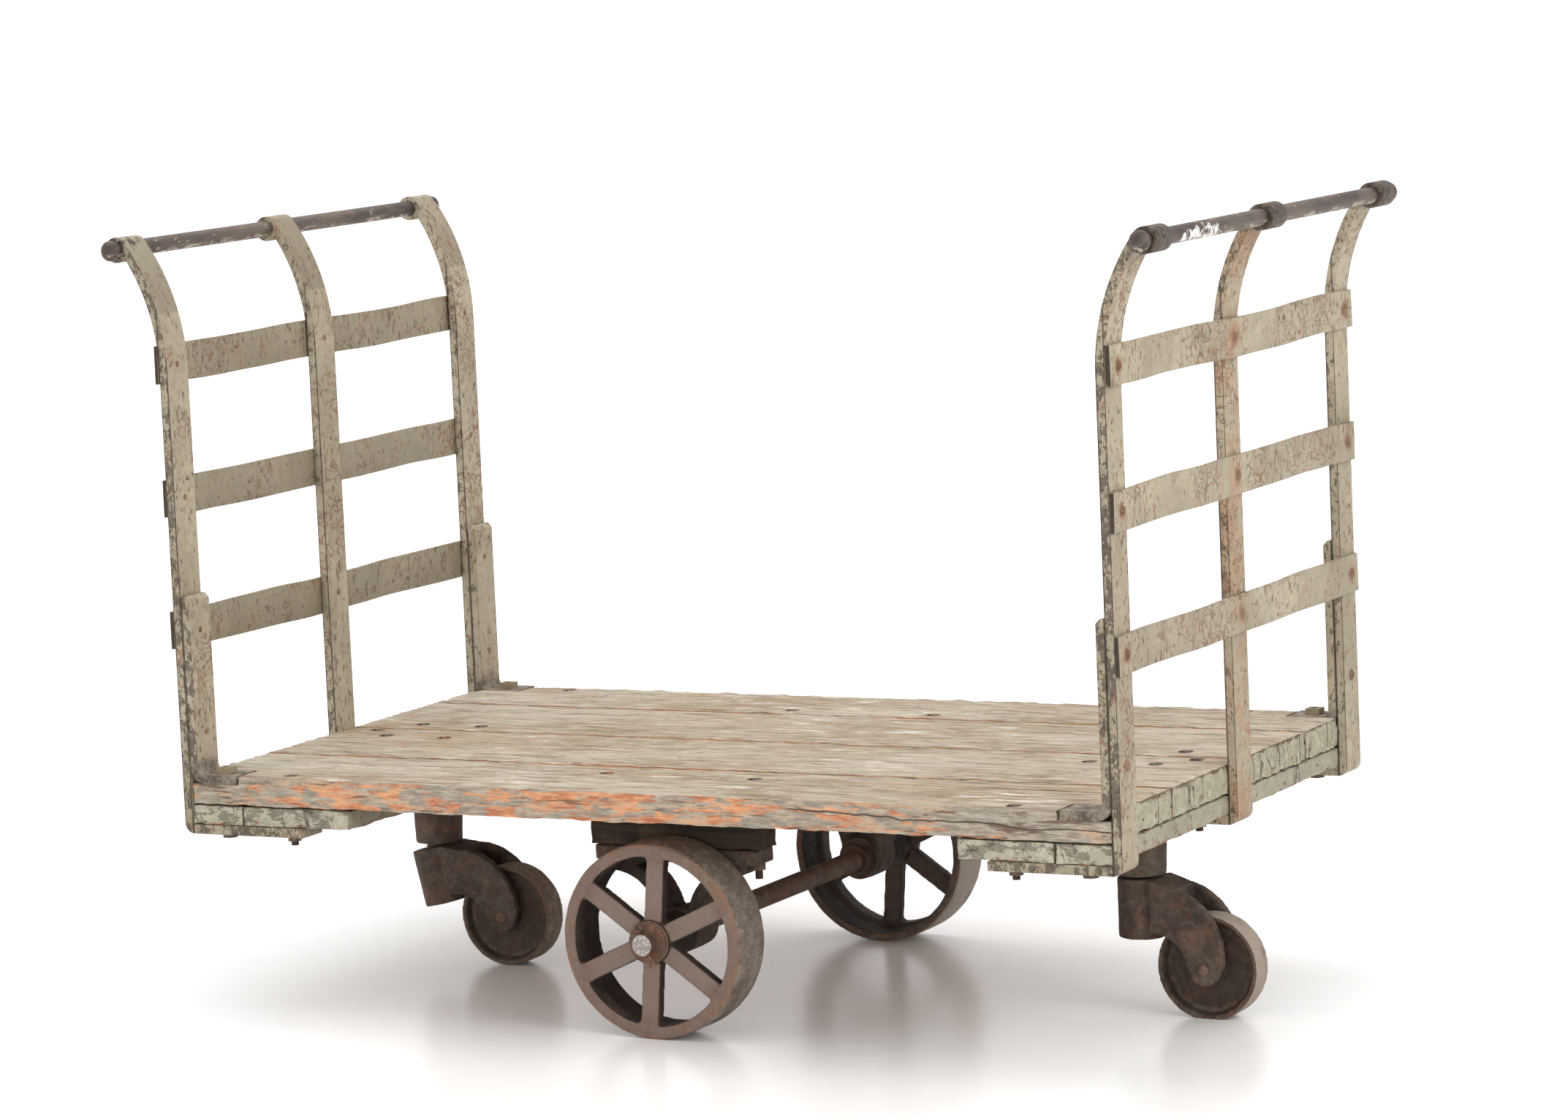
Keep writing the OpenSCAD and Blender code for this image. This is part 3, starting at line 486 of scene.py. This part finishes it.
finishes = {
    "rack_paint": racks(),
    "deck_wood": deck_wood(),
    "painted_wood": painted_wood(),
    "dark_wood": dark_wood(),
    "bare_steel": bare_steel(),
    "rusty_rivets": small_iron("rusty_rivets", "553C2C", "84674F", "A8977F", 0.4, 0.6),
    "pin_steel": small_iron("pin_iron", "4E3B30", "6B5141", "8C7663", 0.25, 0.7),
    "fasteners": small_iron("bolt_iron", "40372F", "5B4D41", "85796A", 0.3, 0.5),
    "wheel_iron": small_iron("wheel_iron", "52413A", "69554A", "8D7A6B", 0.3, 0.4),
    "caster_iron": small_iron("caster_iron", "4A372D", "694F3F", "8F7660", 0.25, 0.5),
    "cast_iron": small_iron("hanger_iron", "352A24", "4D3F34", "6F6053", 0.2, 0.4),
}
deck_bolt_iron = small_iron("deck_bolt_iron", "241C17", "3A2E26", "54473B", 0.1, 0.3)
node_finishes = {
    "axle": axle_steel(),
    "corner_nuts": small_iron("painted_nut_iron", "736957", "94896F", "B0A690", 0.3, 0.3),
    "carriage_bolts": deck_bolt_iron,
    "caster_bolts": deck_bolt_iron,
    "hanger_bolts": deck_bolt_iron,
    "front_wheel": rolling_iron(
        "front_wheel_iron", "front_wheel", "6F5C52", "7C6D63", "332921", "71645A", "94694C"
    ),
    "back_wheel": rolling_iron(
        "back_wheel_iron", "back_wheel", "4E4139", "5A4D45", "2A221D", "93867A", "7C5A44"
    ),
    "left_caster_wheel": rolling_iron(
        "left_roller_iron", "left_caster_wheel", "4A3B31", "3A2D25", "2B221C", "75675B", "6E5647"
    ),
    "right_caster_wheel": rolling_iron(
        "right_roller_iron", "right_caster_wheel", "3E3028", "32261F", "281F19", "928476", "5E4A3D"
    ),
}

slot_of_node = {row["node"]: row["material_slot"] for row in frame["record"]["subparts"]}
for node, thing in frame["nodes"].items():
    thing.data.materials.clear()
    thing.data.materials.append(node_finishes.get(node) or finishes[slot_of_node[node]])

# ---------------------------------------------------------------- shaping tools


def take(piece):
    """Selects one piece only, and makes it the active one."""
    bpy.ops.object.select_all(action="DESELECT")
    piece.select_set(True)
    bpy.context.view_layer.objects.active = piece


def change(piece, kind, **settings):
    """Adds one modifier to a piece and applies it."""
    take(piece)
    modifier = piece.modifiers.new(kind.title(), kind)
    for name, value in settings.items():
        setattr(modifier, name, value)
    bpy.ops.object.modifier_apply(modifier=modifier.name)


def settle(piece, node):
    """Gives a finished piece its node's finish and body, and puts it in the node's place."""
    slot = slot_of_node[node]
    piece.data.materials.clear()
    piece.data.materials.append(node_finishes.get(node) or finishes[slot])
    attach(piece, body_of_node[node])
    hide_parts(node)
    return piece


def copy_of(node, name):
    """A new piece with a merged copy of a CAD node's mesh."""
    piece = bpy.data.objects.new(name, frame["nodes"][node].data.copy())
    bpy.context.scene.collection.objects.link(piece)
    take(piece)
    bpy.ops.mesh.customdata_custom_splitnormals_clear()
    bpy.ops.object.mode_set(mode="EDIT")
    bpy.ops.mesh.select_all(action="SELECT")
    bpy.ops.mesh.remove_doubles(threshold=0.00001)
    bpy.ops.object.mode_set(mode="OBJECT")
    return piece


def solids_of(node):
    """The lowest and highest corner of each separate solid in a CAD node."""
    mesh = bmesh.new()
    mesh.from_mesh(frame["nodes"][node].data)
    bmesh.ops.remove_doubles(mesh, verts=mesh.verts, dist=0.00001)
    left, found = set(mesh.verts), []
    while left:
        queue, corners = [left.pop()], []
        while queue:
            vertex = queue.pop()
            corners.append(vertex.co.copy())
            for edge in vertex.link_edges:
                other = edge.other_vert(vertex)
                if other in left:
                    left.discard(other)
                    queue.append(other)
        found.append(
            (
                Vector([min(c[i] for c in corners) for i in range(3)]),
                Vector([max(c[i] for c in corners) for i in range(3)]),
            )
        )
    mesh.free()
    return sorted(found, key=lambda pair: tuple(pair[0]))


def clouds(size, depth=2, contrast=1.0):
    """A cloud pattern for shaping, whose lumps are about this size."""
    made = bpy.data.textures.new("relief", "CLOUDS")
    made.noise_scale = size
    made.noise_depth = depth
    made.contrast = contrast
    return made


def roughen(piece, texture, strength, level, stretch=(1, 1, 1), group="", along="NORMAL"):
    """Moves a piece's skin by a cloud pattern, which may be drawn out along an axis."""
    ruler = bpy.data.objects.new("ruler", None)
    bpy.context.scene.collection.objects.link(ruler)
    ruler.scale = stretch
    bpy.context.view_layer.update()
    change(
        piece,
        "DISPLACE",
        texture=texture,
        texture_coords="OBJECT",
        texture_coords_object=ruler,
        strength=strength,
        mid_level=level,
        direction=along,
        vertex_group=group,
    )
    bpy.data.objects.remove(ruler)


def cutter_box(low, high, turn=0.0):
    """A block to be cut out of a piece, turned about its own upright axis."""
    bpy.ops.object.select_all(action="DESELECT")
    low, high = Vector(low), Vector(high)
    bpy.ops.mesh.primitive_cube_add(size=1, location=(low + high) / 2, rotation=(0, 0, turn))
    block = bpy.context.object
    block.scale = high - low
    bpy.ops.object.transform_apply(location=True, rotation=True, scale=True)
    return block


def cutter_drill(x, y, low, high, radius):
    """An upright round cutter between two heights."""
    bpy.ops.object.select_all(action="DESELECT")
    bpy.ops.mesh.primitive_cylinder_add(
        vertices=24, radius=radius, depth=high - low, location=(x, y, (low + high) / 2)
    )
    return bpy.context.object


def cut(piece, cutters):
    """Cuts each of the cutters out of a piece, one by one."""
    for tool in cutters:
        change(piece, "BOOLEAN", object=tool, operation="DIFFERENCE", solver="EXACT")
        bpy.data.objects.remove(tool)


# ---------------------------------------------------------------- timber

deck_bolts = solids_of("carriage_bolts") + solids_of("caster_bolts") + solids_of("hanger_bolts")
head_r = (deck_bolts[0][1].x - deck_bolts[0][0].x) / 2


def timber(node, step, wear):
    """A sawn board with a gridded skin, worn arrises and raised grain."""
    low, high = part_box(node)
    size, middle = high - low, (low + high) / 2
    bpy.ops.object.select_all(action="DESELECT")
    bpy.ops.mesh.primitive_grid_add(
        x_subdivisions=round(size.x / step),
        y_subdivisions=round(size.y / step),
        size=1,
        location=(middle.x, middle.y, high.z),
    )
    piece = bpy.context.object
    piece.name = node + "_timber"
    piece.scale = (size.x, size.y, 1)
    bpy.ops.object.transform_apply(location=True, rotation=True, scale=True)
    bpy.ops.object.mode_set(mode="EDIT")
    bpy.ops.mesh.select_all(action="SELECT")
    layers = round(size.z / step)
    for _ in range(layers):
        bpy.ops.mesh.extrude_region_move(TRANSFORM_OT_translate={"value": (0, 0, -size.z / layers)})
    bpy.ops.mesh.select_all(action="SELECT")
    bpy.ops.mesh.normals_make_consistent(inside=False)
    bpy.ops.object.mode_set(mode="OBJECT")

    arris = piece.vertex_groups.new(name="arris")
    for vertex in piece.data.vertices:
        gaps = sorted(min(vertex.co[i] - low[i], high[i] - vertex.co[i]) for i in range(3))
        arris.add([vertex.index], max(0.0, 1 - gaps[1] / 0.013), "REPLACE")
    lengthwise = size.x > size.y
    grain = (9, 1, 1) if lengthwise else (1, 9, 1)
    chips = (1.8, 1, 1) if lengthwise else (1, 1.8, 1)
    roughen(piece, clouds(0.016), -0.0012, 0.0, grain)
    roughen(piece, clouds(0.016, 3, 1.4), -wear, 0.1, chips, "arris")
    return piece


def splits(rng, low, high, end, count):
    """Thin drying splits that run in from one end of a board."""
    made = []
    for i in range(count):
        y = low.y + (high.y - low.y) * (i + 0.5 + rng.uniform(-0.3, 0.3)) / count
        run = rng.uniform(0.02, 0.09)
        wide = rng.uniform(0.0008, 0.0018)
        top = rng.uniform(low.z + 0.4 * (high.z - low.z), high.z + 0.004)
        base = rng.uniform(low.z - 0.004, low.z + 0.4 * (high.z - low.z))
        x = sorted([end, end - math.copysign(run, end)])
        turn = rng.uniform(-0.05, 0.05)
        made.append(cutter_box((x[0] - 0.004, y - wide, base), (x[1] + 0.004, y + wide, top), turn))
    return made


def long_crack(rng, y, start, stop, top):
    """A shallow crack that wanders along a plank, in short straight runs."""
    made, x = [], start
    while x < stop:
        run = min(rng.uniform(0.09, 0.2), stop - x + 0.01)
        side = y + rng.uniform(-0.003, 0.003)
        half = rng.uniform(0.0006, 0.0012)
        turn = rng.uniform(-0.012, 0.012)
        low = (x - 0.004, side - half, top - 0.007)
        high = (x + run, side + half, top + 0.01)
        made.append(cutter_box(low, high, turn))
        x += run
    return made


def deck():
    """The planks, with pockets for the knees and bolts, the cross boards and the packing blocks."""
    rng = random.Random(7)
    for node in planks:
        low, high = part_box(node)
        piece = timber(node, step=0.0055, wear=0.0045)
        tools = []
        for knee in ("knee_left_front", "knee_left_back", "knee_right_front", "knee_right_back"):
            k_low, k_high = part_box(knee)
            if low.y < (k_low.y + k_high.y) / 2 < high.y:
                # A pocket is close to the knee inboard and open to the outside of the deck.
                x_room = (0.004, 0.01) if k_low.x > 0 else (0.01, 0.004)
                y_room = (0.0015, 0.01) if k_low.y > 0 else (0.01, 0.0015)
                tools.append(
                    cutter_box(
                        (k_low.x - x_room[0], k_low.y - y_room[0], k_low.z),
                        (k_high.x + x_room[1], k_high.y + y_room[1], high.z + 0.01),
                    )
                )
        for b_low, b_high in deck_bolts:
            x, y = (b_low.x + b_high.x) / 2, (b_low.y + b_high.y) / 2
            if low.y < y < high.y:
                tools.append(cutter_drill(x, y, high.z - 0.008, high.z + 0.01, head_r + 0.0005))
        tools += splits(rng, low, high, low.x, 2) + splits(rng, low, high, high.x, 3)
        if node == "plank_front":
            tools += long_crack(rng, -0.27, -0.56, 0.6, high.z)
        cut(piece, tools)
        settle(piece, node)
    for node in ("left_board_outer", "left_board_inner", "right_board_outer", "right_board_inner"):
        low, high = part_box(node)
        piece = timber(node, step=0.0055, wear=0.0035)
        if node.endswith("inner"):
            x = sum(c.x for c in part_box("left_socket" if low.x < 0 else "right_socket")) / 2
            tool = cutter_drill(x, 0, low.z - 0.01, high.z + 0.01, 0.02)
            cut(piece, [tool])
        settle(piece, node)
    for node in ("front_packing", "back_packing"):
        settle(timber(node, step=0.007, wear=0.004), node)


# ---------------------------------------------------------------- iron


def casting(node, voxel, grit):
    """A cast piece: every corner is filleted and the skin is a little uneven."""
    piece = copy_of(node, node + "_casting")
    change(piece, "REMESH", mode="VOXEL", voxel_size=voxel, use_smooth_shade=True)
    change(piece, "SMOOTH", factor=0.5, iterations=5)
    roughen(piece, clouds(0.012, 3), grit, 0.5)
    low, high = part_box(node)
    for vertex in piece.data.vertices:
        vertex.co = [min(max(vertex.co[i], low[i]), high[i]) for i in range(3)]
    settle(piece, node)


def arrises(piece, width, corner):
    """Rounds every edge that is sharper than a number of degrees."""
    limit = math.radians(corner)
    change(piece, "BEVEL", width=width, segments=2, limit_method="ANGLE", angle_limit=limit)


def soften(piece):
    """Shades a piece smooth, but for its real corners."""
    take(piece)
    bpy.ops.object.shade_smooth_by_angle(angle=math.radians(35))


def slat(node):
    """A flat bar that has been knocked a little out of true."""
    low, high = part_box(node)
    out = 1 if low.x > 0 else -1
    block = cutter_box(low, high)
    block.name = node + "_bar"
    bpy.ops.object.mode_set(mode="EDIT")
    steps = round((high.y - low.y) / 0.018)
    for i in range(1, steps):
        bpy.ops.mesh.select_all(action="SELECT")
        y = low.y + (high.y - low.y) * i / steps
        bpy.ops.mesh.bisect(plane_co=(0, y, 0), plane_no=(0, 1, 0))
    bpy.ops.object.mode_set(mode="OBJECT")
    arrises(block, width=0.0009, corner=60)
    roughen(block, clouds(0.22, 1), 0.007, 0.5, along="Z")
    roughen(block, clouds(0.16, 1, 1.3), 0.003 * out, 0.3, along="X")
    soften(block)
    settle(block, node)


def forging(node, round_off, gap=0.0):
    """A forged bar piece with its arrises worn round, which may stand off what it is riveted to."""
    piece = copy_of(node, node + "_forging")
    low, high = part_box(node)
    outer = high.x if low.x > 0 else low.x
    for vertex in piece.data.vertices:
        if gap and abs(vertex.co.x - outer) < 0.0005 and vertex.co.z > deck_top - 0.006:
            vertex.co.x -= math.copysign(gap, outer)
    bpy.ops.object.mode_set(mode="EDIT")
    bpy.ops.mesh.select_all(action="SELECT")
    bpy.ops.mesh.dissolve_limited(angle_limit=math.radians(0.2))
    bpy.ops.object.mode_set(mode="OBJECT")
    arrises(piece, width=round_off, corner=40)
    soften(piece)
    settle(piece, node)


deck()
for side in ("left", "right"):
    for place in ("front", "middle", "back"):
        forging(side + "_upright_" + place, round_off=0.0012)
    for level in ("low", "middle", "top"):
        slat(side + "_slat_" + level)
    for place in ("front", "back"):
        forging("knee_" + side + "_" + place, round_off=0.0014, gap=0.0014)
    casting(side + "_socket", voxel=0.002, grit=0.0008)
    casting(side + "_fork", voxel=0.002, grit=0.0008)
    casting(side + "_caster_wheel", voxel=0.002, grit=0.0006)
for place in ("front", "back"):
    casting(place + "_wheel", voxel=0.0024, grit=0.001)
    casting(place + "_hanger", voxel=0.0024, grit=0.001)

# ---------------------------------------------------------------- room, light and camera


def floor():
    """A pale floor under the main wheels and the left caster, which all stand on it."""
    main_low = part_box("front_wheel")[0].z
    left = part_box("left_caster_wheel")
    run = (left[0].x + left[1].x) / 2
    slope = math.atan((left[0].z - main_low) / run)
    bpy.ops.object.select_all(action="DESELECT")
    bpy.ops.mesh.primitive_plane_add(size=60, location=(0, 0, main_low))
    sheet = bpy.context.object
    sheet.name = "studio_floor"
    sheet.rotation_euler = (0, -slope, 0)
    f = Finish("pale_floor", shine=0.5)
    far = f.root(f.at[0] * f.at[0] + f.at[1] * f.at[1]).rise(1.6, 4.0)
    pale = f.mix(f.noise(3, 3), tint("FBFAF9"), tint("F8F6F5"))
    f.set("Base Color", f.mix(far, pale, tint("000000")))
    f.set("Roughness", 0.2 + f.noise(8, 3) * 0.08)
    f.set("Emission Color", f.mix(far, tint("000000"), tint("FFFFFF")))
    f.shader.inputs["Emission Strength"].default_value = 1.0
    sheet.data.materials.append(f.material)


def lamp(name, place, aim, size, power):
    """A rectangular softbox at a place, turned to what it lights."""
    data = bpy.data.lights.new(name, "AREA")
    data.shape = "RECTANGLE"
    data.size, data.size_y = size
    data.energy = power
    thing = bpy.data.objects.new(name, data)
    bpy.context.scene.collection.objects.link(thing)
    thing.location = place
    thing.rotation_euler = (Vector(aim) - Vector(place)).to_track_quat("-Z", "Y").to_euler()


def camera(place, aim, roll, lens):
    """A camera at a place, rolled by some degrees about its line of sight."""
    data = bpy.data.cameras.new("view_camera")
    data.lens = lens
    data.sensor_width = 36
    data.clip_end = 200
    thing = bpy.data.objects.new("view_camera", data)
    bpy.context.scene.collection.objects.link(thing)
    thing.location = place
    look = (Vector(aim) - Vector(place)).to_track_quat("-Z", "Y")
    thing.rotation_mode = "QUATERNION"
    thing.rotation_quaternion = look @ Quaternion((0, 0, 1), math.radians(roll))
    bpy.context.scene.camera = thing


floor()
lamp("overhead_softbox", (-0.5, 0.6, 4.2), (0, 0, 0.3), (4.5, 3.5), 96)
lamp("front_left_softbox", (-3.8, -4.5, 2.8), (0, 0, 0.5), (3, 2.4), 24)
lamp("right_softbox", (3.4, -0.9, 2.0), (0.5, 0, 0.5), (2.0, 2.0), 44)
lamp("low_front_fill", (0.6, -4.4, 0.5), (0, 0, 0.1), (3.6, 0.7), 26)
camera((3.419, -6.556, 1.511), (0.027, 0, 0.594), roll=-2.54, lens=126.95)

# The backdrop lights the truck a little less than it shows.
room_light = 0.93
world = bpy.data.worlds.new("studio")
world.use_nodes = True
backdrop = world.node_tree.nodes["Background"]
backdrop.inputs["Color"].default_value = (1, 1, 1, 1)
room = Tree(world.node_tree)
seen = room.node("ShaderNodeLightPath", output="Is Camera Ray")
glow = room.node("ShaderNodeMapRange", {}, {"Value": seen, "To Min": room_light, "To Max": 1.0})
room.link(glow, backdrop.inputs["Strength"])
bpy.context.scene.world = world
bpy.context.scene.view_settings.view_transform = "Standard"
